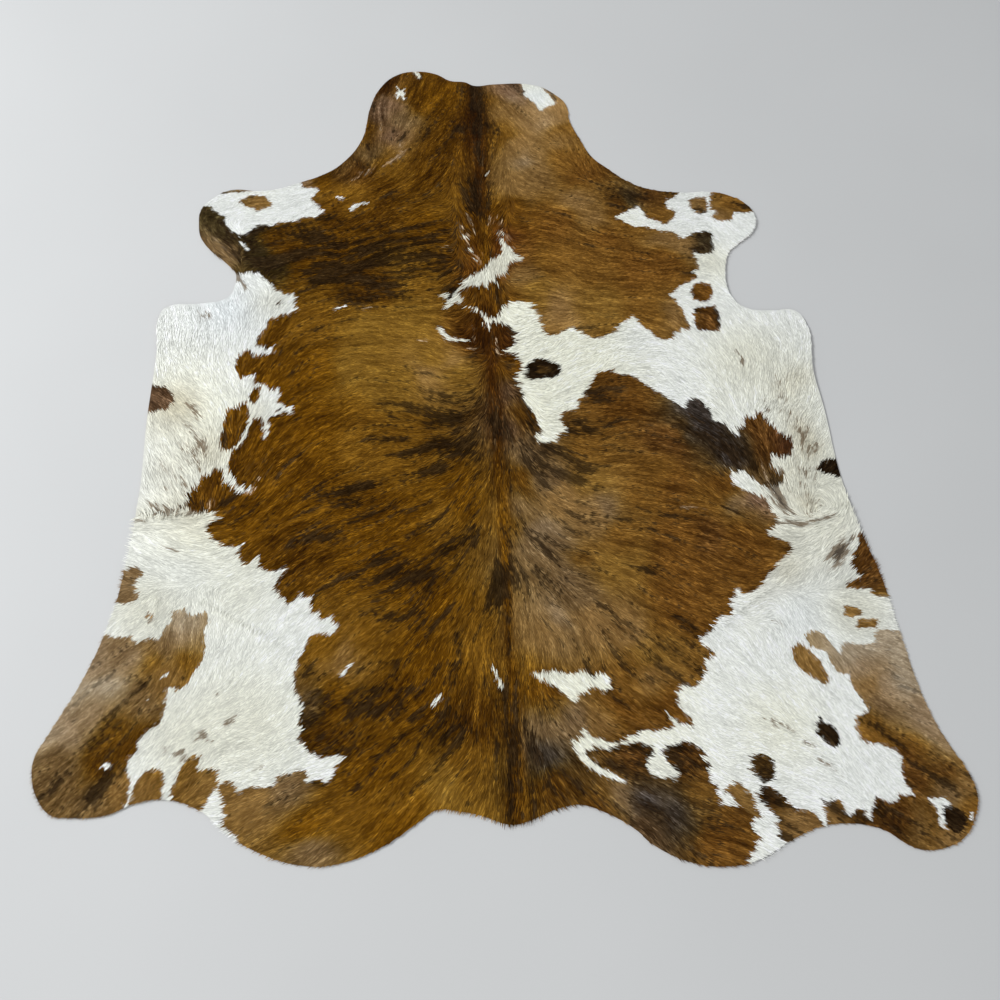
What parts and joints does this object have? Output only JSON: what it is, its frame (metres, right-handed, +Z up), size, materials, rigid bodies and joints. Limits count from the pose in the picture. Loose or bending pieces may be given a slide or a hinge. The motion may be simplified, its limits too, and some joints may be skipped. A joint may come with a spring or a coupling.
{
  "type": "cowhide rug",
  "caption": "Whole cowhide rug in the animal's outline, hair side up with brown and white patches, a flat sheet that lies on a floor.",
  "frame": {"origin": "on the floor, under the middle of the hide's bounding box", "axes": "+Z up, out of the hair side; +Y along the back towards the neck; +X towards the animal's right side"},
  "size_m": [2.0928, 2.2606, 0.0094],
  "materials": {
    "coat": "short natural hair lying flat on tanned leather, tan and chestnut brown with dark brindle stripes and irregular white patches, soft sheen along the hair"
  },
  "bodies": {
    "root": {"cowhide": "coat"}
  },
  "joints": []
}
